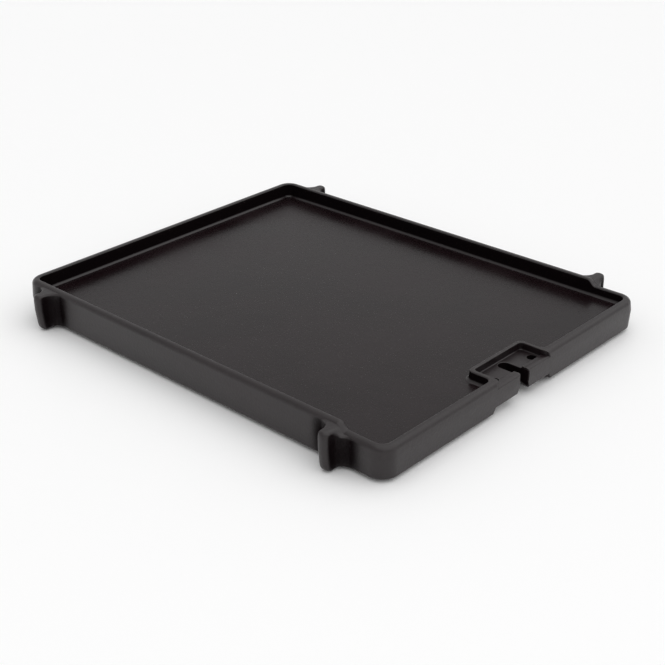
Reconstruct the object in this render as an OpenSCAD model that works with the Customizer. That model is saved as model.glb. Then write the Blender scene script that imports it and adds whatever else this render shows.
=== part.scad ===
// Cast iron griddle plate for a camp stove.
// One iron casting: a flat cooking plate in a raised rim, with a hollow underside,
// four lugs on the long sides and a socket for a lift-off handle in one short side.
// Each region of the casting is a solid of its own, and neighbours meet face to face.
// The origin is the middle of the plate, level with the tips of the lugs that it stands on.
// +X points to the handle end and +Z up. All lengths are in millimetres.

/* [Plate] */
// Length over the two end walls
plate_l = 286; // [220:1:360]
// Width over the two side walls, without the lugs
plate_w = 226.4; // [160:0.2:300]
// Thickness of the cooking plate
plate_t = 5; // [4:0.5:7]
// Depth of the cooking surface below the high rim
well_depth = 9.6; // [8.6:0.2:11]
// Corner radius that is left in the flat of the cooking surface
well_corner_r = 0.5; // [0.2:0.1:12]

/* [Walls] */
// Height of the high walls over the lower edge of the skirt
wall_h = 22; // [20.5:0.5:30]
// How much lower the rim is at the handle end
rim_drop = 3.7; // [1:0.1:4.5]
// Thickness of the high rim at its top
rim_t = 4.5; // [3.5:0.1:7]
// Thickness of the skirt at its lower edge
skirt_t = 5; // [3.5:0.1:7]
// Draft of every upright face, in degrees
draft = 3; // [1:0.5:4]
// Height of the mould's parting line over the lower edge of the skirt
parting_h = 11.5; // [10:0.5:13]
// Rounding of the rim's two edges
rim_r = 1.3; // [0.5:0.1:1.7]
// Rounding of the skirt's lower edges
skirt_r = 1; // [0.4:0.1:1.6]
// Fillet where the walls meet the plate
foot_r = 3; // [1.5:0.1:4]
// Length of the S-curved step from the high rim to the low rim
step_l = 5.5; // [3:0.5:12]
// Distance of the step's middle past the lugs, towards the handle end
step_past = 2.3; // [0:0.1:5]

/* [Lugs] */
// Distance from the far end wall to the middle of its two lugs
lug_far = 24.3; // [20:0.1:60]
// Distance from the handle end wall to the middle of its two lugs
lug_near = 31; // [26:0.1:60]
// Width of a lug's tongue
lug_w = 6.4; // [4.5:0.1:10]
// How far a lug stands out from the wall at its top
lug_out = 11.2; // [8:0.1:16]
// How far the outer face of a lug leans in towards its foot
lug_lean = 0.9; // [0:0.1:1.5]
// How far a lug's tip reaches below the skirt
lug_drop = 2; // [0.5:0.1:4]
// How far a lug's top lies below the rim
lug_low = 1; // [0.5:0.1:3]
// Rounding of the tongue's upright corners
lug_tip_r = 2; // [0.5:0.1:2.2]
// Rounding of the tongue's top edge
lug_edge_r = 1.5; // [0.5:0.1:2.5]
// Rounding of the nose at the foot of the tongue
lug_nose_r = 5; // [2:0.1:6]
// Distance from the wall to the heel of the lug's foot
lug_heel = 3; // [2:0.1:4]
// Fillet that flares the lug into the wall
lug_root_r = 7; // [3:0.5:7.5]

/* [Handle socket] */
// Width of the socket between the dam's two arms, at their tops
socket_w = 42.2; // [36:0.2:60]
// Distance from the outer face to the dam's inner face, at its top
socket_in = 17.8; // [16.5:0.1:26]
// Height of the socket's pads over the cooking surface
pad_rise = 1.6; // [0.5:0.1:2.2]
// Height of the outer lip over the pads
lip_rise = 1.2; // [0.5:0.1:1.8]
// Thickness of the outer lip
lip_t = 4.4; // [3.4:0.1:5]
// Rounding of the lip's edges
lip_r = 0.8; // [0.3:0.1:1]
// Thickness of the dam at its top
dam_t = 2.5; // [2:0.1:4]
// Rounding of the dam's top edges
dam_edge_r = 0.8; // [0.3:0.1:0.9]
// Fillet at the foot of the dam, towards the pads
dam_pad_r = 1.5; // [0.8:0.1:2]
// Fillet at the foot of the dam, towards the cooking surface
dam_well_r = 3; // [0.8:0.1:4]
// Corner radius that is left in the flat of the pads
socket_corner_r = 0.6; // [0.3:0.1:3]
// Width of the slot for the handle's blade
slot_w = 7; // [5:0.1:10]
// Distance from the outer face to the round end of the slot
slot_in = 16.4; // [12:0.1:16.4]
// How much wider the slot is on each side at the lower edge of the wall
slot_flare = 1.7; // [0.2:0.1:2]
// Height over which the slot flares
slot_flare_h = 4; // [2:0.1:5]
// Diameter of the two holes for the handle's pegs
peg_d = 5.5; // [4:0.1:5.6]
// Distance from the outer face to the middle of each hole
peg_in = 7.3; // [7.2:0.1:9]
// Distance between the middles of the two holes
peg_span = 34; // [24:0.2:35]
// Height of the raised lower edge under the socket, over the skirt's lower edge
jaw_rise = 3; // [1:0.1:4]
// How far that raised edge reaches past the dam's arms
jaw_past = 0.8; // [0:0.1:1]

/* [Hidden] */
$fn = 64;

// Colour of the seasoned iron
iron = [0.17, 0.17, 0.17];
// Number of straight pieces in each rounded edge, and of slices in the rim's step
round_steps = 8;
step_slices = 10;
// Overlap that makes sure of a cut, and a length that clears the whole casting
cut = 1;
far = plate_l;

// Levels, from the ground up
skirt_z = lug_drop;
part_z = skirt_z + parting_h;
rim_z = skirt_z + wall_h;
low_z = rim_z - rim_drop;
plate_z = rim_z - well_depth;
under_z = plate_z - plate_t;
lug_z = rim_z - lug_low;
jaw_z = skirt_z + jaw_rise;
pad_z = plate_z + pad_rise;
lip_z = pad_z + lip_rise;

// Distance in from the nominal outer face, at height z: outer face, inner face, inside of the skirt
slope = tan(draft);
function outer_u(z) = (abs(z - part_z) - parting_h) * slope;
function inner_u(z) = rim_t + outer_u(rim_z) + (rim_z - z) * slope;
function skirt_u(z) = skirt_t + (z - skirt_z) * slope;

// Where the walls end and the flat plate starts, and the outer corner radius that follows
seam_u = max(inner_u(plate_z), skirt_u(under_z)) + foot_r;
corner_r = seam_u + well_corner_r;

// Feet of the dam's two faces and of their fillets, outwards from the top of its inner face
dam_foot_in = -(low_z - pad_z) * slope;
dam_foot_out = dam_t + (low_z - plate_z) * slope;
dam_toe_in = dam_foot_in - dam_pad_r;
dam_toe_out = dam_foot_out + dam_well_r;
dam_turn_r = socket_corner_r - dam_toe_in;

// Reach of the pads inside the dam, of the raised lower edge and of the whole socket outside the dam
pad_u = socket_in + dam_toe_in;
socket_u = socket_in + dam_toe_out;
socket_y = socket_w / 2 + dam_toe_out;
jaw_y = socket_w / 2 + dam_t + jaw_past;

// Places along the length
left_x = -plate_l / 2;
right_x = plate_l / 2;
front_y = -plate_w / 2;
lug_far_x = left_x + lug_far;
lug_near_x = right_x - lug_near;
step_x = lug_near_x + step_past - step_l / 2;

// Smooth change from 0 to 1
function ease(t) = (1 - cos(180 * t)) / 2;

// Outline through points [x, y, radius], each corner rounded by its radius.
// Two neighbours share their edge in proportion to their radii.
function share(p, q) = norm([q.x - p.x, q.y - p.y]) * p.z / (p.z + q.z);
function corner_arc(a, p, b) =
    let (to_a = [a.x - p.x, a.y - p.y])
    let (to_b = [b.x - p.x, b.y - p.y])
    let (ua = to_a / norm(to_a))
    let (ub = to_b / norm(to_b))
    let (half = acos(ua * ub) / 2)
    let (reach = min(p.z / tan(half), share(p, a), share(p, b)))
    let (r = reach * tan(half))
    let (mid = [p.x, p.y] + (ua + ub) / norm(ua + ub) * r / sin(half))
    let (from = [p.x, p.y] + ua * reach - mid)
    let (to = [p.x, p.y] + ub * reach - mid)
    let (turn = (180 - 2 * half) * sign(from.x * to.y - from.y * to.x))
    let (start = atan2(from.y, from.x))
    [for (i = [0:round_steps])
        let (angle = start + turn * i / round_steps)
        mid + r * [cos(angle), sin(angle)]];
function rounded(path) =
    let (n = len(path))
    [for (i = [0:n - 1])
        let (p = path[i])
        each p.z > 0 ? corner_arc(path[(i + n - 1) % n], p, path[(i + 1) % n]) : [[p.x, p.y]]];

// Section of a wall whose rim is at height top: rim, foot fillets and a strip of the plate
function wall_section(top) = rounded([
    [outer_u(skirt_z), skirt_z, skirt_r],
    [outer_u(part_z), part_z, 0],
    [outer_u(top), top, rim_r],
    [inner_u(top), top, rim_r],
    [inner_u(plate_z), plate_z, foot_r],
    [seam_u, plate_z, 0],
    [seam_u, under_z, 0],
    [skirt_u(under_z), under_z, foot_r],
    [skirt_u(skirt_z), skirt_z, skirt_r]
]);

// Section through a pad of the socket: outer lip, pad and the raised lower edge
pad_section = rounded([
    [outer_u(jaw_z), jaw_z, skirt_r],
    [outer_u(part_z), part_z, 0],
    [outer_u(lip_z), lip_z, lip_r],
    [lip_t, lip_z, lip_r],
    [lip_t + lip_rise * slope, pad_z, lip_rise / 2],
    [pad_u, pad_z, 0],
    [pad_u, under_z, 0],
    [skirt_u(under_z), under_z, foot_r],
    [skirt_u(jaw_z), jaw_z, skirt_r]
]);

// Section of the dam with the strip of plate under it, outwards from the top of its inner face
dam_section = rounded([
    [dam_toe_in, pad_z, 0],
    [dam_foot_in, pad_z, dam_pad_r],
    [0, low_z, dam_edge_r],
    [dam_t, low_z, dam_edge_r],
    [dam_foot_out, plate_z, dam_well_r],
    [dam_toe_out, plate_z, 0],
    [dam_toe_out, under_z, 0],
    [dam_toe_in, under_z, 0]
]);

// A section swept straight along +X, its inside towards +Y
module run(section, length) {
    rotate([90, 0, 90])
        linear_extrude(length)
            polygon(section);
}

// A section turned about a corner's centre, from +X through an angle
module turned(section, radius, side, angle) {
    rotate_extrude(angle = angle)
        polygon([for (p = section) [radius + side * p.x, p.y]]);
}

// The two halves of the rounded corner at the front right: beside the long wall and beside the end wall
module long_half_corner(top) {
    translate([right_x - corner_r, front_y + corner_r, 0])
        rotate([0, 0, -90])
            turned(wall_section(top), corner_r, -1, 45);
}
module end_half_corner(top) {
    translate([right_x - corner_r, front_y + corner_r, 0])
        mirror([0, 1, 0])
            turned(wall_section(top), corner_r, -1, 45);
}

// A long wall below its crown, up to the top of its inner fillet
crown_z = plate_z + foot_r;
wall_base = rounded([
    [outer_u(skirt_z), skirt_z, skirt_r],
    [outer_u(part_z), part_z, 0],
    [outer_u(crown_z), crown_z, 0],
    [inner_u(crown_z), crown_z, 0],
    [inner_u(plate_z), plate_z, foot_r],
    [seam_u, plate_z, 0],
    [seam_u, under_z, 0],
    [skirt_u(under_z), under_z, foot_r],
    [skirt_u(skirt_z), skirt_z, skirt_r]
]);

// The crown of that wall over its base, where the rim is at height top
function crown_section(top) = rounded([
    [outer_u(crown_z), crown_z, 0],
    [outer_u(top), top, rim_r],
    [inner_u(top), top, rim_r],
    [inner_u(crown_z), crown_z, 0]
]);

// A crown lofted through stations, each a distance along the wall and the rim's height there
module crown(stations) {
    sections = [for (s = stations) crown_section(s.y)];
    n = len(sections[0]);
    last = (len(stations) - 1) * n;
    points = [for (i = [0:len(stations) - 1]) for (p = sections[i]) [stations[i].x, p.x, p.y]];
    sides = [for (i = [0:len(stations) - 2]) for (j = [0:n - 1])
        let (a = i * n + j)
        let (b = i * n + (j + 1) % n)
        each [[a, b, a + n], [b, b + n, a + n]]];
    start = [for (j = [1:n - 2]) [0, j + 1, j]];
    end = [for (j = [1:n - 2]) [last, last + j, last + j + 1]];
    polyhedron(points, concat(start, sides, end));
}

// A long side of the rim, at the front: high rim, S-curved step, low rim and half of each corner
module long_side() {
    start_x = left_x + corner_r;
    side_l = -2 * start_x;
    steps = [for (i = [0:step_slices])
        [step_x - start_x + step_l * i / step_slices, rim_z - rim_drop * ease(i / step_slices)]];
    translate([start_x, front_y, 0]) {
        run(wall_base, side_l);
        crown(concat([[0, rim_z]], steps, [[side_l, low_z]]));
    }
    mirror([1, 0, 0])
        long_half_corner(rim_z);
    long_half_corner(low_z);
}

// The short wall at the handle end as one straight length, outer face towards +X
module end_run(section, y0, y1) {
    translate([right_x, y0, 0])
        rotate([0, 0, 90])
            run(section, y1 - y0);
}

// Front half of the handle end's rim, from the corner to the socket
module end_half() {
    end_run(wall_section(low_z), front_y + corner_r, -socket_y);
    end_half_corner(low_z);
}

// Room for the handle's lower jaw under the handle end wall
module jaw_cut() {
    translate([right_x - seam_u, -jaw_y, -cut])
        cube([seam_u + cut, 2 * jaw_y, jaw_z + cut]);
}

// Slot for the handle's blade: a round-ended slot that flares below through the wall
module slot_cut() {
    slot_r = slot_w / 2;
    translate([right_x - slot_in + slot_r, 0, -cut]) {
        cylinder(h = rim_z + cut, r = slot_r);
        translate([0, -slot_r, 0])
            cube([slot_in, slot_w, rim_z + cut]);
    }
    flare = [
        [slot_r, jaw_z + slot_flare_h],
        [slot_r + slot_flare, jaw_z],
        [slot_r + slot_flare, -cut],
        [-slot_r - slot_flare, -cut],
        [-slot_r - slot_flare, jaw_z],
        [-slot_r, jaw_z + slot_flare_h]
    ];
    translate([right_x - seam_u, 0, 0])
        rotate([90, 0, 90])
            linear_extrude(seam_u + cut)
                polygon(flare);
}

// The two peg holes, straight down through the pads and along the root of the wall
module peg_cut() {
    for (side = [-1, 1])
        translate([right_x - peg_in, side * peg_span / 2, -cut])
            cylinder(h = rim_z + cut, d = peg_d);
}

// One arm of the dam, on the front side, and its quarter turn
module dam_arm() {
    turn_x = right_x - socket_in + dam_turn_r;
    translate([turn_x, -socket_w / 2, 0])
        mirror([0, 1, 0])
            run(dam_section, socket_in - dam_turn_r - lip_t / 2);
    translate([turn_x, -socket_w / 2 + dam_turn_r, 0])
        rotate([0, 0, 180])
            turned(dam_section, dam_turn_r, 1, 90);
}

// Front half of the socket: end wall, lip, pad, arm of the dam and the plate around it
module socket_half() {
    end_run(wall_section(low_z), -socket_y, -socket_w / 2);
    end_run(pad_section, -socket_w / 2, 0);
    dam_arm();
    translate([right_x - socket_u, -socket_y, under_z])
        cube([dam_turn_r + dam_toe_out, dam_turn_r + dam_toe_out, plate_t]);
}

// Plan of a lug: a tongue with rounded corners and flared roots, standing out along +Y
module lug_plan() {
    half = lug_w / 2;
    foot = half + lug_root_r;
    polygon(rounded([
        [-foot, -cut, 0],
        [-foot, 0, 0],
        [-half, 0, lug_root_r],
        [-half, lug_out, lug_tip_r],
        [half, lug_out, lug_tip_r],
        [half, 0, lug_root_r],
        [foot, 0, 0],
        [foot, -cut, 0]
    ]));
}

// Side of a lug: leaning face, round nose and a heel that climbs back to the skirt
lug_side = rounded([
    [-cut, lug_z, 0],
    [lug_out, lug_z, lug_edge_r],
    [lug_out - lug_lean, 0, lug_nose_r],
    [lug_heel, 0, lug_heel],
    [-cut, skirt_z * (lug_heel + cut) / lug_heel, 0]
]);

// Top of a lug seen from the front: level, or following the rim's step down past the tongue
function lug_top(drop) = concat(
    [[far, -cut], [-far, -cut], [-far, lug_z]],
    [for (i = [0:step_slices])
        [lug_w / 2 - lug_edge_r + step_l * i / step_slices, lug_z - drop * ease(i / step_slices)]],
    [[far, lug_z - drop]]
);

// A lug on the front wall, at x along the length
module lug(x, drop) {
    lug_span = lug_w + 2 * lug_root_r;
    difference() {
        translate([x, front_y, 0])
            intersection() {
                mirror([0, 1, 0])
                    linear_extrude(rim_z)
                        lug_plan();
                translate([-lug_span / 2, 0, 0])
                    rotate([90, 0, 90])
                        linear_extrude(lug_span)
                            polygon([for (p = lug_side) [-p.x, p.y]]);
                rotate([90, 0, 0])
                    translate([0, 0, -far / 2])
                        linear_extrude(far)
                            polygon(lug_top(drop));
            }
        translate([x - far / 2, front_y, 0])
            run([
                [outer_u(skirt_z), -cut],
                [outer_u(skirt_z), skirt_z],
                [outer_u(part_z), part_z],
                [outer_u(rim_z), rim_z],
                [outer_u(rim_z), rim_z + cut],
                [seam_u, rim_z + cut],
                [seam_u, -cut]
            ], far);
    }
}

// The flat of the cooking plate, cut out for the socket
module cooking_plate() {
    flat_l = plate_l - 2 * seam_u;
    flat_w = plate_w - 2 * seam_u;
    color(iron)
        translate([0, 0, under_z])
            linear_extrude(plate_t)
                difference() {
                    polygon(rounded([
                        [-flat_l / 2, -flat_w / 2, well_corner_r],
                        [flat_l / 2, -flat_w / 2, well_corner_r],
                        [flat_l / 2, flat_w / 2, well_corner_r],
                        [-flat_l / 2, flat_w / 2, well_corner_r]
                    ]));
                    translate([right_x - socket_u, -socket_y])
                        square([socket_u, 2 * socket_y]);
                }
}

// Rim at the far end, with half of each corner
module rim_left() {
    end_y = plate_w / 2 - corner_r;
    color(iron) {
        translate([left_x, end_y, 0])
            rotate([0, 0, -90])
                run(wall_section(rim_z), 2 * end_y);
        mirror([1, 0, 0]) {
            end_half_corner(rim_z);
            mirror([0, 1, 0])
                end_half_corner(rim_z);
        }
    }
}

// Front side of the rim
module rim_front() {
    color(iron)
        long_side();
}

// Back side of the rim
module rim_back() {
    color(iron)
        mirror([0, 1, 0])
            long_side();
}

// Handle end's rim, in front of the socket
module rim_right_front() {
    color(iron)
        end_half();
}

// Handle end's rim, behind the socket
module rim_right_back() {
    color(iron)
        mirror([0, 1, 0])
            end_half();
}

// Lugs of the far end
module lug_front_left() {
    color(iron)
        lug(lug_far_x, 0);
}
module lug_back_left() {
    color(iron)
        mirror([0, 1, 0])
            lug(lug_far_x, 0);
}

// Lugs of the handle end, which carry the rim's step
module lug_front_right() {
    color(iron)
        lug(lug_near_x, rim_drop);
}
module lug_back_right() {
    color(iron)
        mirror([0, 1, 0])
            lug(lug_near_x, rim_drop);
}

// Socket for the lift-off handle, with the dam that keeps grease out of it
module handle_socket() {
    inner_y = socket_w / 2 - dam_turn_r;
    color(iron)
        difference() {
            union() {
                socket_half();
                mirror([0, 1, 0])
                    socket_half();
                translate([right_x - socket_in, -inner_y, 0])
                    rotate([0, 0, 90])
                        run(dam_section, 2 * inner_y);
            }
            slot_cut();
            peg_cut();
            jaw_cut();
        }
}

cooking_plate();
rim_left();
rim_front();
rim_back();
rim_right_front();
rim_right_back();
lug_front_left();
lug_back_left();
lug_front_right();
lug_back_right();
handle_socket();
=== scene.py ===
# %% [markdown]
# # A cast iron griddle plate
# The object is a camp griddle: one flat iron casting with a raised rim, four lugs that it stands on
# and a socket for a lift-off handle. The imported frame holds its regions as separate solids. On the
# bench there are no seams between them, so this lesson models the casting once more as one smooth
# skin, at the sizes that the frame gives, and then finishes it as seasoned iron.

# %% Load the frame
import math

import bmesh
import bpy
from mathutils import Matrix, Vector


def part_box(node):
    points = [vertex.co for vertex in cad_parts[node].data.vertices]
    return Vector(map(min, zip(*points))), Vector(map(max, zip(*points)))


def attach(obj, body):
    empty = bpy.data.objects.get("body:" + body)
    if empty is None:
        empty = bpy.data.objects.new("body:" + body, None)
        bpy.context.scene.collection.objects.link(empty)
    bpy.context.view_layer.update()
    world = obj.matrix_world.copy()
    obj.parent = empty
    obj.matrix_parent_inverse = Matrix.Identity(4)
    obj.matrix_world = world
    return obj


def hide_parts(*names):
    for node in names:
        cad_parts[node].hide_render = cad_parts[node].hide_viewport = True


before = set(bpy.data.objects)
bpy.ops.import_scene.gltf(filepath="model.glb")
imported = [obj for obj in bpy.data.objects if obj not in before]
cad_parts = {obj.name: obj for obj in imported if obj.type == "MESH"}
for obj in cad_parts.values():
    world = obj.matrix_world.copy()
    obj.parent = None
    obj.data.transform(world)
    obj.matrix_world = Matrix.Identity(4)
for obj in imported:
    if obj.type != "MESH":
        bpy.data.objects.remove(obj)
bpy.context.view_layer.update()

# %% [markdown]
# ## The sizes
# Every level and reach that the solids show is read from them, so that the skin lies where they lie.
# The rest are finishing sizes, in millimetres, that a pattern maker would choose: roundings, fillets
# and the draft, which is the lean that lets a pattern leave the sand.

# %% Levels and reaches from the frame
MM = 0.001
plate_low, plate_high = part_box("cooking_plate")
far_low, far_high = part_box("rim_left")
_, near_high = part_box("rim_right_front")
side_low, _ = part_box("rim_front")

under_z, floor_z = plate_low.z, plate_high.z
skirt_z, rim_z, low_rim_z = far_low.z, far_high.z, near_high.z
half_l, half_w = near_high.x, -side_low.y
print("floor, rim and low rim in mm:", [round(z / MM, 2) for z in (floor_z, rim_z, low_rim_z)])

# %% Finishing sizes of the casting
draft = math.tan(math.radians(3))
parting_z = skirt_z + 11.5 * MM
skirt_lean = (parting_z - skirt_z) * draft
rim_lean = (rim_z - parting_z) * draft
well_lean = (rim_z - floor_z) * draft
corner_r = 9.5 * MM
rim_t = 4.5 * MM
skirt_t = 5 * MM
rim_out_r = 2.8 * MM
rim_in_r = 0.9 * MM
skirt_r = 1.0 * MM
foot_r = 2 * MM
print("walls lean in mm:", [round(lean / MM, 2) for lean in (skirt_lean, rim_lean, well_lean)])

# %% [markdown]
# ## Working by hand in code
# Modelling by hand is a rhythm of three moves: add a primitive, select some of it, and use a tool on
# the selection. The first helpers add one primitive by itself, open it in edit mode, and select parts
# of it by their place, as clicks would. The next ones are the tools that this casting needs again and
# again: a cut with a plane, an extrusion, and a rounding of edges. The last ones measure and test.
# Two places count as the same when they are less than a tiny 0.01 mm apart.

# %% Helpers that start a piece and select
X, Y, Z = 0, 1, 2
MODES = {"verts": "VERT", "edges": "EDGE", "faces": "FACE"}
tiny = 0.01 * MM
close_by = 2 * MM


def take(piece):
    """Selects one piece alone and makes it the active one."""
    bpy.ops.object.select_all(action="DESELECT")
    piece.select_set(True)
    bpy.context.view_layer.objects.active = piece


def start_piece(name, add, **where):
    """Adds one primitive at its size and place and opens it in edit mode."""
    bpy.ops.object.select_all(action="DESELECT")
    add(**where)
    piece = bpy.context.object
    piece.name = name
    piece.data.name = name
    bpy.ops.object.transform_apply(location=True, rotation=True, scale=True)
    bpy.ops.object.mode_set(mode="EDIT")
    return piece


def start_box(name, low, high):
    """A box between two corners, in edit mode."""
    low, high = Vector(low), Vector(high)
    return start_piece(
        name, bpy.ops.mesh.primitive_cube_add, size=1, location=(low + high) / 2, scale=high - low
    )


def pick(piece, kind, test):
    """Selects the verts, edges or faces that pass a test, and nothing else."""
    bpy.ops.mesh.select_mode(type=MODES[kind])
    bpy.ops.mesh.select_all(action="DESELECT")
    mesh = bmesh.from_edit_mesh(piece.data)
    mesh.normal_update()
    found = [part for part in getattr(mesh, kind) if test(part)]
    for part in found:
        part.select_set(True)
    bmesh.update_edit_mesh(piece.data)
    return len(found)


# %% Helpers that shape
def cut(axis, place):
    """Cuts the selected faces with a plane across one axis."""
    normal = Vector((axis == X, axis == Y, axis == Z))
    bpy.ops.mesh.bisect(plane_co=place * normal, plane_no=normal, threshold=tiny / 10)


def cut_all(axis, place):
    """Cuts the whole piece with a plane across one axis."""
    bpy.ops.mesh.select_all(action="SELECT")
    cut(axis, place)


def extrude(x, y, z):
    """Extrudes the selection by one step."""
    bpy.ops.mesh.extrude_region_move(TRANSFORM_OT_translate={"value": (x, y, z)})


def round_edges(piece, test, radius, segments):
    """Bevels the edges that pass a test, and returns how many there were."""
    count = pick(piece, "edges", test)
    bpy.ops.mesh.bevel(offset=radius, segments=segments, profile=0.5, affect="EDGES")
    return count


# %% Helpers that measure and test
FLAT, STEEP = 0.9, 0.4


def open_edges(piece):
    """How many edges don't join exactly two faces. A closed skin has none."""
    mesh = bmesh.new()
    mesh.from_mesh(piece.data)
    count = sum(not edge.is_manifold for edge in mesh.edges)
    mesh.free()
    return count


def middle(edge):
    """The middle of an edge."""
    return (edge.verts[0].co + edge.verts[1].co) / 2


def is_upright(edge):
    """True for an edge that runs up, give or take the draft."""
    along = edge.verts[1].co - edge.verts[0].co
    return abs(along.z) > FLAT * along.length


def lies_at(place, axis=Z):
    """A test for parts whose verts all lie at one level, or at one place along another axis."""
    def test(part):
        verts = getattr(part, "verts", [part])
        return all(abs(vert.co[axis] - place) < tiny for vert in verts)
    return test


def crosses(face, axis, place):
    """True for a face that lies on both sides of one place along an axis."""
    places = [vert.co[axis] for vert in face.verts]
    return min(places) < place - tiny and max(places) > place + tiny


# %% [markdown]
# ## The block
# The casting starts as a plain box at the parting line's width, where the two halves of the mould
# meet. Bevelling its four upright edges rounds the corners. A cut at the parting line then lets the
# walls lean in from there, upwards and downwards, by scaling the top and bottom outlines. The rim's
# outer edge gets its broad rounding at once, while the top is still level and whole.

# %% Box, corners, parting line, draft and the rim's outer edge
casting = start_box("griddle_casting", (-half_l, -half_w, skirt_z), (half_l, half_w, rim_z))
round_edges(casting, is_upright, corner_r, segments=10)
cut_all(Z, parting_z)
for level, lean in ((skirt_z, skirt_lean), (rim_z, rim_lean)):
    pick(casting, "verts", lies_at(level))
    shrink = ((half_l - lean) / half_l, (half_w - lean) / half_w, 1)
    bpy.ops.transform.resize(value=shrink, center_override=(0, 0, level))
count = round_edges(casting, lies_at(rim_z), rim_out_r, segments=6)
print("edges of the outline rounded:", count)

# %% [markdown]
# ## The well and the dam
# The top face is inset by the rim's width. Three cuts across the inner face mark the socket's block at
# the handle end. The block stays up as the grease dam, and the rest, made one face again, is sunk to
# the cooking surface with a lean all round. One inset does the sinking and the lean together.

# %% Inset the rim and sink the well
dam_half_w = 23.6 * MM
dam_x = half_l - rim_lean - 20.3 * MM
inner_x = half_l - rim_lean - rim_t
inner_y = half_w - rim_lean - rim_t


def inside_rim(face):
    """True for a top face inside the rim."""
    reach_x = max(abs(vert.co.x) for vert in face.verts)
    reach_y = max(abs(vert.co.y) for vert in face.verts)
    return lies_at(rim_z)(face) and reach_x <= inner_x + tiny and reach_y <= inner_y + tiny


def in_well(face):
    """True for a top face inside the rim that isn't the socket's block."""
    centre = face.calc_center_bounds()
    return inside_rim(face) and (centre.x < dam_x or abs(centre.y) > dam_half_w)


def behind_dam(edge):
    """True for an edge between the socket's block and the rim."""
    place = middle(edge)
    return lies_at(rim_z)(edge) and abs(place.x - inner_x) < tiny and abs(place.y) < dam_half_w


pick(casting, "faces", lies_at(rim_z))
bpy.ops.mesh.inset(thickness=rim_t - rim_out_r)
for axis, place in ((Y, dam_half_w), (Y, -dam_half_w), (X, dam_x)):
    pick(casting, "faces", inside_rim)
    cut(axis, place)
pick(casting, "faces", in_well)
bpy.ops.mesh.dissolve_faces()
pick(casting, "edges", behind_dam)
bpy.ops.mesh.dissolve_edges(use_verts=False)
pick(casting, "faces", in_well)
bpy.ops.mesh.inset(thickness=well_lean, depth=-(rim_z - floor_z))
print("well floor at", round(floor_z / MM, 2), "mm")

# %% Round the upright corners of the dam
dam_turn_r = 4 * MM
dam_root_r = 3.6 * MM


def dam_corner(x):
    """A test for the upright edges of the dam near one place along the length."""
    def test(edge):
        place = middle(edge)
        beside = abs(place.x - x) < close_by and abs(abs(place.y) - dam_half_w) < close_by
        return beside and is_upright(edge)
    return test


for x, radius in ((dam_x, dam_turn_r), (inner_x, dam_root_r)):
    count = round_edges(casting, dam_corner(x), radius, segments=6)
    print("dam corners rounded:", count)


# %% Round the rim's inner edge and the dam
def above_a_wall(edge):
    """True for an edge of the rim's top that has a wall on one side."""
    return lies_at(rim_z)(edge) and any(face.normal.z < STEEP for face in edge.link_faces)


print("inner edges rounded:", round_edges(casting, above_a_wall, rim_in_r, segments=4))

# %% [markdown]
# ## The hollow underside
# A solid slab of this size would weigh far too much to lift, so such plates are hollow below. The
# bottom face is inset by the skirt's width and pushed up to the underside of the plate.

# %% Hollow the underside
hollow_h = under_z - skirt_z
pick(casting, "faces", lambda face: face.normal.z < -FLAT)
bpy.ops.mesh.inset(thickness=skirt_t)
bpy.ops.mesh.inset(thickness=hollow_h * draft, depth=-hollow_h)
print("hollow below the plate:", round(hollow_h / MM, 2), "mm")

# %% [markdown]
# ## The step in the rim
# At the handle end the rim is lower, and it falls there in an S-curve. The long walls are cut at a
# few stations along the curve, only where they touch the rim, and then the cut's upper points are
# moved down, station by station. All that lies past the last station goes down by the full step. The
# round edges are there already and only move, which is cleaner than a bevel along a curved edge.

# %% Cut the stations and lower the rim
lug_near_low, lug_near_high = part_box("lug_front_right")
lug_far_low, lug_far_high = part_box("lug_front_left")
lug_near_x = (lug_near_low.x + lug_near_high.x) / 2
lug_far_x = (lug_far_low.x + lug_far_high.x) / 2
step_l = 5.5 * MM
step_x = lug_near_x + 2.3 * MM - step_l / 2
rim_drop = rim_z - low_rim_z
crown_z = rim_z - rim_out_r
STATIONS = 8


def ease(share):
    """A smooth change from 0 to 1."""
    return (1 - math.cos(math.pi * share)) / 2


def crown_across(x):
    """A test for faces of the long walls' crowns that cross one place along the length."""
    def test(face):
        high = max(vert.co.z for vert in face.verts) > crown_z
        return high and abs(face.calc_center_bounds().y) > inner_y - close_by and crosses(face, X, x)
    return test


shares = [i / STATIONS for i in range(STATIONS + 1)]
stations = [(step_x + step_l * share, rim_drop * ease(share)) for share in shares]
for x, _ in stations:
    pick(casting, "faces", crown_across(x))
    cut(X, x)
for x, drop in stations[1:]:
    pick(casting, "verts", lambda vert: lies_at(x, X)(vert) and vert.co.z > crown_z)
    bpy.ops.transform.translate(value=(0, 0, -drop))
pick(casting, "verts", lambda vert: vert.co.x > stations[-1][0] + tiny and vert.co.z > crown_z)
bpy.ops.transform.translate(value=(0, 0, -rim_drop))
print("rim falls by", round(rim_drop / MM, 2), "mm")

# %% [markdown]
# The lower edge of the end wall is raised under the socket, to make room for the handle's jaw. That is
# the same work upside down: two cuts on each side mark a slope, and the points between them go up.

# %% Raise the lower edge under the socket
jaw_half_w = 24.4 * MM
jaw_slope = 1.8 * MM
jaw_rise = 3 * MM
jaw_z = skirt_z + jaw_rise


def skirt_across(y):
    """A test for faces of the end wall's skirt that cross one place along the width."""
    def test(face):
        low = min(vert.co.z for vert in face.verts) < skirt_z + tiny
        end_x = half_l - skirt_lean - skirt_t - close_by
        return low and face.calc_center_bounds().x > end_x and crosses(face, Y, y)
    return test


def jaw_point(vert):
    """True for a point of the skirt's lower edge between the slopes."""
    low = vert.co.z < skirt_z + tiny
    return low and vert.co.x > 0 and abs(vert.co.y) < jaw_half_w + tiny


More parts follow.
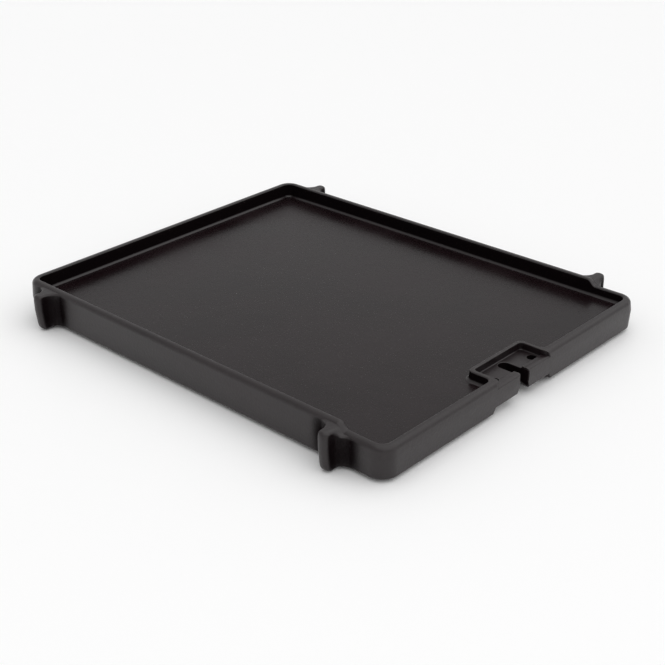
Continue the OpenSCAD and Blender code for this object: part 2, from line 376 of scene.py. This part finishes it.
for y in (-jaw_half_w - jaw_slope, -jaw_half_w, jaw_half_w, jaw_half_w + jaw_slope):
    pick(casting, "faces", skirt_across(y))
    cut(Y, y)
print("points raised:", pick(casting, "verts", jaw_point))
bpy.ops.transform.translate(value=(0, 0, jaw_rise))

# %% [markdown]
# ## Fillets and roundings
# Molten iron hates sharp corners, so every edge of a casting is round. Each kind of edge that is left
# is selected by its place and bevelled with its own radius: the foot of the walls, the skirt's lower
# edges and the roots of the skirt.

# %% Bevel each kind of edge
def skirt_edge(edge):
    """True for an edge between the skirt's lower land and a wall."""
    if len(edge.link_faces) != 2 or middle(edge).z > jaw_z + tiny:
        return False
    tilts = sorted(abs(face.normal.z) for face in edge.link_faces)
    return tilts[0] < STEEP and tilts[1] > STEEP


for name, test, radius, segments in (
    ("foot of the walls", lies_at(floor_z), foot_r, 6),
    ("skirt", skirt_edge, skirt_r, 4),
    ("root of the skirt", lies_at(under_z), foot_r, 5),
):
    print(name, round_edges(casting, test, radius, segments), "edges rounded")
bpy.ops.object.mode_set(mode="OBJECT")
print("open edges of the block:", open_edges(casting))

# %% [markdown]
# ## The lugs
# Each lug is a tongue with flared roots. A box makes the tongue. Its root, inside the wall, grows a
# crossbar to both sides, and bevelling the two hollow corners gives the flares. Scaling single levels
# towards the wall rounds the nose and the brow. Last, the tongue's lower end is extruded into the foot
# that the plate stands on, in a few steps that get smaller and smaller.

# %% Sizes of a lug
lug_w = 6.4 * MM
lug_z = lug_far_high.z
lug_tip_y = lug_far_low.y
lug_root_r = (lug_far_high.x - lug_far_low.x) / 2 - lug_w / 2
lug_heel = 3 * MM
lug_lean = 0.9 * MM
lug_nose_r = 5 * MM
lug_tip_r = 2.8 * MM
lug_edge_r = 1.5 * MM
lug_sole_r = 2.6 * MM
lug_brow = 0.7 * MM
lug_brow_z = lug_z - 3 * MM
root_depth = 2 * MM
root_spare = 0.2 * MM
sunk = 0.03 * MM
wall_y = -(half_w - skirt_lean) + sunk
foot_y = wall_y - 0.3 * MM
heel_y = wall_y - lug_heel
flare_keep = 0.75
FOOT_LEVELS = (1.4, 0.9, 0.45, 0.15, 0)
print("lug stands out by", round((wall_y - lug_tip_y) / MM, 2), "mm")


# %% Steps of modelling a lug
def tongue_corner(x, y):
    """A test for the upright edges of a tongue at one distance from the wall."""
    def test(edge):
        place = middle(edge)
        at_side = abs(abs(place.x - x) - lug_w / 2) < tiny
        return at_side and abs(place.y - y) < tiny and is_upright(edge)
    return test


def flare_the_root(lug, x):
    """Grows the root to both sides, and rounds its hollow corners and the tongue's tip."""
    cut_all(Y, wall_y)
    for side in (-1, 1):
        pick(lug, "faces", lambda f: f.normal.x * side > FLAT and f.calc_center_bounds().y > wall_y)
        extrude(side * (lug_root_r + root_spare), 0, 0)
    round_edges(lug, tongue_corner(x, wall_y), lug_root_r, segments=8)
    round_edges(lug, tongue_corner(x, lug_tip_y), lug_tip_r, segments=5)


def follow_the_wall(lug):
    """Gives the root the wall's draft, with its bend at the parting line."""
    cut_all(Z, parting_z)
    wall_top = -(half_w - (lug_z - parting_z) * draft) + sunk
    flare_y = wall_y - lug_root_r - tiny
    for level, shift in ((parting_z, -skirt_lean), (lug_z, wall_top - wall_y)):
        pick(lug, "verts", lambda vert: lies_at(level)(vert) and vert.co.y > flare_y)
        bpy.ops.transform.translate(value=(0, shift, 0))


def tuck(radius, distance):
    """How far a rounding draws in, at one distance from the face where it ends."""
    rest = max(radius - distance, 0)
    return radius - math.sqrt(radius ** 2 - rest ** 2)


def tip_at(z):
    """Where the tongue ends at one level of the nose."""
    return lug_tip_y + lug_lean + tuck(lug_nose_r, z)


def shape_the_nose(lug, x):
    """Draws single levels of the tongue towards the wall, and the flares' lower edge too."""
    nose_levels = (skirt_z, skirt_z + skirt_r, lug_nose_r)
    for level in (*nose_levels[1:], lug_brow_z):
        cut_all(Z, level)
    tips = [(level, tip_at(level)) for level in nose_levels]
    for level, tip_y in (*tips, (lug_z, lug_tip_y + lug_brow)):
        pick(lug, "verts", lambda vert: lies_at(level)(vert) and vert.co.y < heel_y - tiny)
        keep = (heel_y - tip_y) / (heel_y - lug_tip_y)
        bpy.ops.transform.resize(value=(1, keep, 1), center_override=(x, heel_y, 0))

    def flare_point(vert):
        beside = vert.co.y < wall_y + tiny and abs(vert.co.x - x) > lug_w / 2 + tiny
        return beside and lies_at(skirt_z)(vert)

    pick(lug, "verts", flare_point)
    bpy.ops.transform.resize(value=(1, flare_keep, 1), center_override=(x, wall_y + skirt_r, 0))


def grow_the_foot(lug, x):
    """Marks the tongue's part of the underside and extrudes it down into a round foot."""
    def underside(face):
        return face.normal.z < -FLAT and lies_at(skirt_z)(face)

    def foot_face(face):
        centre = face.calc_center_bounds()
        return underside(face) and centre.y < foot_y and abs(centre.x - x) < lug_w / 4

    pick(lug, "edges", lambda e: lies_at(skirt_z)(e) and all(underside(f) for f in e.link_faces))
    bpy.ops.mesh.dissolve_edges(use_verts=False)
    for axis, place in ((X, x - lug_w / 2), (X, x + lug_w / 2), (Y, foot_y)):
        pick(lug, "faces", underside)
        cut(axis, place)
    pick(lug, "faces", foot_face)
    z, heel, tip, half = skirt_z, foot_y, tip_at(skirt_z), lug_w / 2
    for level in FOOT_LEVELS:
        next_z = level * MM
        next_heel = foot_y + (heel_y - foot_y) * (1 - next_z / skirt_z)
        next_tip = tip_at(next_z)
        next_half = lug_w / 2 - tuck(lug_sole_r, next_z)
        extrude(0, next_heel - heel, next_z - z)
        keep = (next_half / half, (next_heel - next_tip) / (heel - tip), 1)
        bpy.ops.transform.resize(value=keep, center_override=(x, next_heel, 0))
        z, heel, tip, half = next_z, next_heel, next_tip, next_half


def round_the_top(lug):
    """Makes the flat top one face again and rounds the edges between it and the sides."""
    pick(lug, "edges", lambda e: lies_at(lug_z)(e) and all(f.normal.z > FLAT for f in e.link_faces))
    bpy.ops.mesh.dissolve_edges(use_verts=False)

    def top_edge(edge):
        beside_a_side = min(face.normal.z for face in edge.link_faces) < STEEP
        return beside_a_side and lies_at(lug_z)(edge) and middle(edge).y < wall_y + root_depth / 4

    round_edges(lug, top_edge, lug_edge_r, segments=4)


# %% Model one lug for each end of the front wall
def model_lug(name, x):
    """A lug on the front wall, with its root inside the wall."""
    low = (x - lug_w / 2, lug_tip_y, skirt_z)
    high = (x + lug_w / 2, wall_y + root_depth, lug_z)
    lug = start_box(name, low, high)
    flare_the_root(lug, x)
    follow_the_wall(lug)
    shape_the_nose(lug, x)
    grow_the_foot(lug, x)
    round_the_top(lug)
    bpy.ops.object.mode_set(mode="OBJECT")
    return lug


lug_far = model_lug("lug_far", lug_far_x)
lug_near = model_lug("lug_near", lug_near_x)
print("lug faces:", len(lug_far.data.polygons), "open edges:", open_edges(lug_far))

# %% [markdown]
# The lugs at the handle end stand beside the step, so their tops fall with it. At the wall they fall
# where the rim does. Further out along the tongue the fall comes later, so that the tongue keeps a flat
# top. The lug is cut at stations of its own, and each point of the top goes down by its own share.

# %% Lower the near lugs with the rim
slope_x = lug_near_x + lug_w / 2 - lug_edge_r
slope_low_z = parting_z + 2 * MM
SLOPE_STATIONS = 11


def limit(share):
    """Keeps a share between 0 and 1."""
    return min(max(share, 0), 1)


def fall_at(place):
    """How far the near lug's top falls at one place."""
    begin = step_x + limit((wall_y - place.y) / lug_root_r) * (slope_x - step_x)
    return round(rim_drop * ease(limit((place.x - begin) / step_l)), 6)


take(lug_near)
bpy.ops.object.mode_set(mode="EDIT")
cut_all(Z, slope_low_z)
for i in range(SLOPE_STATIONS + 1):
    pick(lug_near, "faces", lambda face: min(v.co.z for v in face.verts) > slope_low_z - tiny)
    cut(X, step_x + (slope_x + step_l - step_x) * i / SLOPE_STATIONS)
mesh = bmesh.from_edit_mesh(lug_near.data)
falls = {fall_at(vert.co) for vert in mesh.verts if vert.co.z > lug_brow_z - tiny} - {0}
for fall in sorted(falls):
    pick(lug_near, "verts", lambda v: v.co.z > lug_brow_z - tiny and fall_at(v.co) == fall)
    bpy.ops.transform.translate(value=(0, 0, -fall))
bpy.ops.object.mode_set(mode="OBJECT")
print("depths of fall:", len(falls), "open edges:", open_edges(lug_near))


# %% Copy the lugs to the back and join all four to the casting
def turn_outwards():
    """Turns the faces of the piece in edit mode outwards and leaves edit mode."""
    bpy.ops.mesh.select_all(action="SELECT")
    bpy.ops.mesh.normals_make_consistent(inside=False)
    bpy.ops.object.mode_set(mode="OBJECT")


def copy_across(piece):
    """A copy on the other side of the lengthwise middle plane."""
    take(piece)
    bpy.ops.object.duplicate(linked=False)
    copy = bpy.context.object
    copy.scale.y = -1
    bpy.ops.object.transform_apply(location=False, rotation=False, scale=True)
    bpy.ops.object.mode_set(mode="EDIT")
    turn_outwards()
    return copy


def combine(piece, tool, operation):
    """Joins a tool to the piece, or cuts it out, for good."""
    change = piece.modifiers.new(tool.name, "BOOLEAN")
    change.operation = operation
    change.solver = "EXACT"
    change.object = tool
    take(piece)
    bpy.ops.object.modifier_apply(modifier=change.name)
    bpy.data.objects.remove(tool)


for lug in (lug_far, lug_near):
    combine(casting, copy_across(lug), "UNION")
    combine(casting, lug, "UNION")
print("casting with lugs:", len(casting.data.polygons), "faces, open edges:", open_edges(casting))

# %% [markdown]
# ## The handle socket
# The block inside the dam is cut with a few tools, as a pattern maker carves a core: one for the lip
# and the pads, one for the slot that takes the handle's blade, and one for each peg hole. The tools
# have their own roundings where the cut should have a fillet.

# %% Sizes of the socket
spare = 6 * MM
out_x = half_l + spare
high_z = rim_z + spare
wall_x = half_l - rim_lean
socket_half_w = 21.1 * MM
dam_in_x = wall_x - 17.8 * MM
lip_x = wall_x - 4.4 * MM
pad_z = floor_z + 1.6 * MM
lip_z = pad_z + 1.2 * MM
slot_r = 3.5 * MM
slot_x = wall_x - 16.4 * MM + slot_r
slot_low_z = jaw_z - jaw_rise / 2
peg_r = 2.75 * MM
peg_x = wall_x - 7.3 * MM
peg_y = 17 * MM
flare_z = jaw_z + 4 * MM
flare_slope = 1.7 / 4
pocket_turn_r = 2.2 * MM
pad_foot_r = 0.6 * MM
arm_end_r = 4.5 * MM
slot_end_r = 1.5 * MM
lip_r = 2 * MM
END_STEPS = 6
PEG_SIDES = 40
print("pads and lip at", round(pad_z / MM, 2), "and", round(lip_z / MM, 2), "mm")


# %% Make the cutters
def corner_before(x):
    """A test for the upright edges of a tool that lie further in than one place."""
    def test(edge):
        return is_upright(edge) and middle(edge).x < x
    return test


def round_end(tool, half, radius, edge_r=0):
    """Draws a tool's outer end out along a quarter circle, so that its cut leaves round corners there.

    With an edge radius, the tool's lower edge bends down too, and the cut leaves a round lip."""
    start_x = half_l - radius
    x, width, bend = start_x, half, 0
    for i in range(1, END_STEPS + 1):
        turn = math.pi / 2 * i / END_STEPS
        next_x = start_x + radius * math.sin(turn)
        next_width = half + radius * (1 - math.cos(turn))
        pick(tool, "faces", lies_at(x, X))
        extrude(next_x - x, 0, 0)
        bpy.ops.transform.resize(value=(1, next_width / width, 1), center_override=(0, 0, 0))
        x, width = next_x, next_width
        next_bend = tuck(edge_r, half_l - x)
        pick(tool, "verts", lambda vert: lies_at(x, X)(vert) and vert.co.z < lip_z + tiny)
        bpy.ops.transform.translate(value=(0, 0, bend - next_bend))
        bend = next_bend
    pick(tool, "faces", lies_at(x, X))
    extrude(out_x - x, 0, 0)


def pocket_tool():
    """Takes the block down to the lip, and further in to the pads, with round corners and a fillet."""
    low = (dam_in_x, -socket_half_w, lip_z)
    high = (half_l - arm_end_r, socket_half_w, high_z)
    tool = start_box("pocket_tool", low, high)
    round_edges(tool, corner_before(dam_in_x + tiny), pocket_turn_r, segments=5)
    cut_all(X, lip_x)
    pick(tool, "faces", lambda f: f.normal.z < -FLAT and f.calc_center_bounds().x < lip_x)
    extrude(0, 0, pad_z - lip_z)
    round_edges(tool, lies_at(pad_z), pad_foot_r, segments=3)
    round_end(tool, socket_half_w, arm_end_r, lip_r)
    turn_outwards()
    return tool


def slot_tool():
    """The slot for the handle's blade: round at its inner end, and wider towards its lower end."""
    low = (slot_x - slot_r, -slot_r, slot_low_z)
    high = (half_l - slot_end_r, slot_r, high_z)
    tool = start_box("slot_tool", low, high)
    round_edges(tool, corner_before(slot_x), slot_r - tiny, segments=10)
    cut_all(Z, flare_z)
    pick(tool, "verts", lies_at(slot_low_z))
    wider = 1 + flare_slope * (flare_z - slot_low_z) / slot_r
    bpy.ops.transform.resize(value=(1, wider, 1), center_override=(0, 0, 0))
    round_end(tool, slot_r, slot_end_r)
    turn_outwards()
    return tool


def peg_tool(side):
    """One of the two holes for the handle's pegs."""
    tool = start_piece(
        "peg_tool", bpy.ops.mesh.primitive_cylinder_add, vertices=PEG_SIDES, radius=peg_r,
        depth=2 * high_z, location=(peg_x, side * peg_y, 0),
    )
    turn_outwards()
    return tool


# %% Cut the socket
for tool in (pocket_tool(), slot_tool(), peg_tool(-1), peg_tool(1)):
    combine(casting, tool, "DIFFERENCE")
print("casting with socket:", len(casting.data.polygons), "faces, open edges:", open_edges(casting))

# %% Round the edges that the cutters left
SHARP = math.radians(40)
cut_r = 0.4 * MM


def in_socket(place):
    """True for a place in or on the socket, away from the peg holes and the rim's outer rounding."""
    from_peg = math.hypot(place.x - peg_x, abs(place.y) - peg_y)
    return (
        dam_in_x - MM < place.x < half_l - rim_out_r - cut_r
        and abs(place.y) < jaw_half_w + jaw_slope
        and place.z > pad_z - cut_r
        and from_peg > peg_r + cut_r
    )


def cut_edge(edge):
    """True for a sharp outer edge of the socket."""
    if len(edge.link_faces) != 2 or not in_socket(middle(edge)):
        return False
    return edge.is_convex and edge.calc_face_angle() > SHARP


bpy.ops.object.mode_set(mode="EDIT")
bpy.ops.mesh.select_all(action="SELECT")
bpy.ops.mesh.remove_doubles(threshold=tiny)
count = round_edges(casting, cut_edge, cut_r, segments=3)
bpy.ops.object.mode_set(mode="OBJECT")
print("socket edges rounded:", count, "open edges:", open_edges(casting))

# %% [markdown]
# The skin is shaded smooth up to an angle, so that roundings look round and true corners stay crisp.
# Weighted normals then keep the large flat faces flat beside their small roundings.

# %% Shade the skin
SMOOTH_UP_TO = math.radians(35)
take(casting)
bpy.ops.object.shade_smooth_by_angle(angle=SMOOTH_UP_TO)
weigh = casting.modifiers.new("weigh", "WEIGHTED_NORMAL")
weigh.keep_sharp = True
bpy.ops.object.modifier_apply(modifier=weigh.name)
print("skin:", len(casting.data.polygons), "faces")

# %% [markdown]
# ## Seasoned iron
# Seasoning is oil baked onto iron: almost black, satin, and uneven at every scale. Nearly all of the
# light that it gives back is mirrored at its surface, so its walls are as bright as what they face.
# The material layers three noises: wide blotches of thicker oil, gentle waves of the sand mould, and a
# fine grain. Outer edges, where cloths and stoves rub, are worn a little paler. The upright faces of
# recesses get painted shade: a near-black colour that mirrors nothing, standing in for their shadow,
# and lighter in the socket. The cooking surface is scraped at every use, which leaves it smoother
# and darker than the cast walls.

# %% Colours and measures of the finish
OIL_BLACK = (0.0066, 0.0030, 0.0038, 1)
DRY_BLACK = (0.0112, 0.0062, 0.0072, 1)
WORN_GREY = (0.055, 0.050, 0.048, 1)
# Painted shade: a near-black colour for the upright faces of recesses, standing in for their shadow.
PAINTED_SHADE_BLACK = (0.0048, 0.0032, 0.0036, 1)
BLOTCH, WAVE, GRAIN = 45 * MM, 9 * MM, 1.4 * MM
RELIEF = 0.12 * MM
WAVE_STRENGTH, SAND_STRENGTH, SCRAPED_STRENGTH = 0.5, 0.9, 0.3
SATIN, GRIT, POLISH = (0.30, 0.38), (-0.03, 0.05), 0.08
MIRROR, SCRAPED_MIRROR = 0.5, 0.52
# How much of the painted shade is left in the socket.
SOCKET_PAINTED_SHADE = 0.5
WEAR = (0.1, 0.6)
EDGE_REACH, RECESS_REACH = 1.6 * MM, 14 * MM

# %% Limits of each share, where it starts and where it is full
MOST, NEARLY_ALL = (0.35, 0.65), (0.3, 0.7)
EDGE, RECESS = (0.95, 0.45), (0.98, 0.92)
UPRIGHT, LEVEL = (0.6, 0.25), (0.9, 0.98)
# Where the socket's share starts and where it is full, out from the dam and the socket's sides.
SOCKET_RAMP_START, SOCKET_RAMP_FULL = 1.5 * MM, 0.5 * MM
SLACK = 0.3 * MM


# %% Helpers for nodes
def feed(tree, socket, value):
    """Links another node's output to a socket, or sets the socket to a constant."""
    if isinstance(value, bpy.types.NodeSocket):
        tree.links.new(value, socket)
    else:
        socket.default_value = value


def add_node(tree, kind, settings=None, **inputs):
    """Adds a node, sets its options, and sets or links its inputs."""
    node = tree.nodes.new(kind)
    for name, value in (settings or {}).items():
        setattr(node, name, value)
    for name, value in inputs.items():
        feed(tree, node.inputs[name.replace("_", " ")], value)
    return node


def spread(tree, value, low, high, to_low, to_high):
    """Maps one range of a value to another."""
    limits = {"From_Min": low, "From_Max": high, "To_Min": to_low, "To_Max": to_high}
    return add_node(tree, "ShaderNodeMapRange", Value=value, **limits).outputs["Result"]


def share_of(tree, value, none, full):
    """Maps a value to a share, which is 0 at one limit and 1 at the other."""
    return spread(tree, value, none, full, 0, 1)


def fade(tree, share, first, last):
    """Goes from a first to a last value with a share."""
    return spread(tree, share, 0, 1, first, last)


def reckon(tree, operation, *values):
    """The result of one operation on one or two values."""
    node = add_node(tree, "ShaderNodeMath", {"operation": operation})
    for value, socket in zip(values, node.inputs):
        feed(tree, socket, value)
    return node.outputs["Value"]


def product(tree, first, *others):
    """The product of several values."""
    for other in others:
        first = reckon(tree, "MULTIPLY", first, other)
    return first


# %% Helpers for patterns
def parts_of(tree, vector):
    """The three parts of a vector."""
    return add_node(tree, "ShaderNodeSeparateXYZ", Vector=vector).outputs


def noise(tree, place, feature, detail):
    """A noise whose features have about the given size."""
    return add_node(
        tree, "ShaderNodeTexNoise", Vector=place, Scale=1 / feature, Detail=detail, Roughness=0.55
    ).outputs["Fac"]


def openness(tree, reach, samples, inside=False):
    """How open a place is, as far as a reach: 1 in the open and less in a recess.

    Looking inside instead, it is less where the iron is thin, as at outer edges."""
    settings = {"inside": inside, "only_local": True, "samples": samples}
    return add_node(tree, "ShaderNodeAmbientOcclusion", settings, Distance=reach).outputs["AO"]


def blend_colours(tree, share, first, last):
    """A colour between two."""
    node = add_node(tree, "ShaderNodeMix", {"data_type": "RGBA"})
    for socket, value in zip((node.inputs[0], node.inputs[6], node.inputs[7]), (share, first, last)):
        feed(tree, socket, value)
    return node.outputs[2]


def bump(tree, height, strength, **below):
    """A relief on top of the surface below it."""
    return add_node(
        tree, "ShaderNodeBump", Height=height, Distance=RELIEF, Strength=strength, **below
    ).outputs["Normal"]


# %% Iron material
def socket_share(tree, at):
    """1 in the socket, above its pads and inside its dam, and 0 elsewhere."""
    across = reckon(tree, "ABSOLUTE", at["Y"])
    return product(
        tree,
        share_of(tree, at["X"], dam_in_x - SOCKET_RAMP_START, dam_in_x - SOCKET_RAMP_FULL),
        share_of(tree, across, socket_half_w + SOCKET_RAMP_START, socket_half_w + SOCKET_RAMP_FULL),
        share_of(tree, at["Z"], pad_z - SLACK, pad_z),
    )


def painted_shade_share(tree, at, level):
    """How much painted shade there is, standing in for the shadow in recesses: all of it on upright
    faces of recesses, less in the socket.
    """
    upright = share_of(tree, reckon(tree, "ABSOLUTE", level), *UPRIGHT)
    recess = share_of(tree, openness(tree, RECESS_REACH, samples=16), *RECESS)
    # The painted shade is lighter in the socket.
    return product(tree, recess, upright, fade(tree, socket_share(tree, at), 1, SOCKET_PAINTED_SHADE))


def scraped_share(tree, at, level):
    """1 on the cooking surface and 0 elsewhere."""
    low = share_of(tree, at["Z"], floor_z + MM, floor_z + SLACK)
    return product(tree, share_of(tree, level, *LEVEL), low)


def seasoned_iron():
    """Satin black iron with a sand-cast grain."""
    material = bpy.data.materials.new("seasoned_iron")
    material.use_nodes = True
    tree = material.node_tree
    shader = tree.nodes["Principled BSDF"].inputs
    coordinates = add_node(tree, "ShaderNodeTexCoord").outputs
    place = coordinates["Object"]
    at = parts_of(tree, place)
    level = parts_of(tree, coordinates["Normal"])["Z"]
    blotches = noise(tree, place, BLOTCH, detail=4)
    waves = noise(tree, place, WAVE, detail=2)
    grain = noise(tree, place, GRAIN, detail=3)
    painted_shade = painted_shade_share(tree, at, level)
    scraped = scraped_share(tree, at, level)

    edges = share_of(tree, openness(tree, EDGE_REACH, samples=8, inside=True), *EDGE)
    worn = product(tree, edges, spread(tree, waves, *MOST, *WEAR))
    oil = blend_colours(tree, share_of(tree, blotches, *MOST), OIL_BLACK, DRY_BLACK)
    rubbed = blend_colours(tree, worn, oil, WORN_GREY)
    # The upright faces of recesses are painted near black, as shade.
    feed(tree, shader["Base Color"], blend_colours(tree, painted_shade, rubbed, PAINTED_SHADE_BLACK))

    # The painted shade also takes the mirroring away in recesses, which darkens them further.
    mirror = product(tree, fade(tree, painted_shade, MIRROR, 0), fade(tree, scraped, 1, SCRAPED_MIRROR))
    feed(tree, shader["Specular IOR Level"], mirror)
    oily = spread(tree, blotches, *NEARLY_ALL, *SATIN)
    satin = reckon(tree, "ADD", oily, spread(tree, grain, *NEARLY_ALL, *GRIT))
    feed(tree, shader["Roughness"], reckon(tree, "SUBTRACT", satin, fade(tree, scraped, 0, POLISH)))

    wavy = bump(tree, waves, WAVE_STRENGTH)
    sandy = bump(tree, grain, fade(tree, scraped, SAND_STRENGTH, SCRAPED_STRENGTH), Normal=wavy)
    feed(tree, shader["Normal"], sandy)
    return material


# %% Give the iron to the casting
casting.data.materials.clear()
casting.data.materials.append(seasoned_iron())
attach(casting, "root")
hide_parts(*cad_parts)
print("nodes that the casting stands for:", len(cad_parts))

# %% [markdown]
# ## Floor, light and camera
# The stage is a photographer's cove: a white floor whose edges curve up, so that no horizon shows from
# any side. A soft sky lights it, with a wide sun above the handle end as the key light.

# %% Floor
FLOOR_SIZE, COVE_H, COVE_R = 6, 0.45, 0.4
PAPER_WHITE = (0.97, 0.97, 0.97, 1)
floor = start_piece("studio_floor", bpy.ops.mesh.primitive_plane_add, size=FLOOR_SIZE)
pick(floor, "edges", lambda edge: edge.is_boundary)
extrude(0, 0, COVE_H)
count = round_edges(
    floor, lambda edge: is_upright(edge) or lies_at(0)(edge), COVE_R, segments=12
)
bpy.ops.object.mode_set(mode="OBJECT")
bpy.ops.object.shade_smooth()
paper = bpy.data.materials.new("white_paper")
paper.use_nodes = True
paper.node_tree.nodes["Principled BSDF"].inputs["Base Color"].default_value = PAPER_WHITE
floor.data.materials.append(paper)
print("edges of the cove rounded:", count)

# %% Sky and key light
SKY, KEY = 0.64, 1.3
KEY_WIDTH = math.radians(100)
KEY_FROM = Vector((0.4, 0.2, 1.0))
world = bpy.data.worlds.new("white_studio")
bpy.context.scene.world = world
world.use_nodes = True
world.node_tree.nodes["Background"].inputs["Color"].default_value = (1, 1, 1, 1)
world.node_tree.nodes["Background"].inputs["Strength"].default_value = SKY
key = bpy.data.objects.new("key_light", bpy.data.lights.new("key_light", "SUN"))
bpy.context.scene.collection.objects.link(key)
key.data.energy = KEY
key.data.angle = KEY_WIDTH
key.rotation_euler = KEY_FROM.to_track_quat("Z", "Y").to_euler()
key.location = KEY_FROM
print("sky and key light:", SKY, KEY)

# %% Camera
AZIMUTH, ELEVATION, ROLL = (math.radians(a) for a in (43.14, 26.99, -0.80))
FOCAL_MM, SENSOR_MM = 68.0, 36
CAMERA_PLACE = (466.3 * MM, -492.7 * MM, 337.3 * MM)
back = Vector((
    math.sin(AZIMUTH) * math.cos(ELEVATION),
    -math.cos(AZIMUTH) * math.cos(ELEVATION),
    math.sin(ELEVATION),
))
right = back.cross(Vector((0, 0, -1))).normalized()
up = back.cross(right)
rolled_right = math.cos(ROLL) * right + math.sin(ROLL) * up
rolled_up = math.cos(ROLL) * up - math.sin(ROLL) * right
camera = bpy.data.objects.new("camera", bpy.data.cameras.new("camera"))
bpy.context.scene.collection.objects.link(camera)
camera.data.sensor_width = SENSOR_MM
camera.data.lens = FOCAL_MM
camera.data.clip_start = 10 * MM
turn = Matrix((rolled_right, rolled_up, back)).transposed()
camera.matrix_world = Matrix.Translation(CAMERA_PLACE) @ turn.to_4x4()
bpy.context.scene.camera = camera
bpy.context.scene.view_settings.view_transform = "Standard"
print("camera with a lens of", FOCAL_MM, "mm")
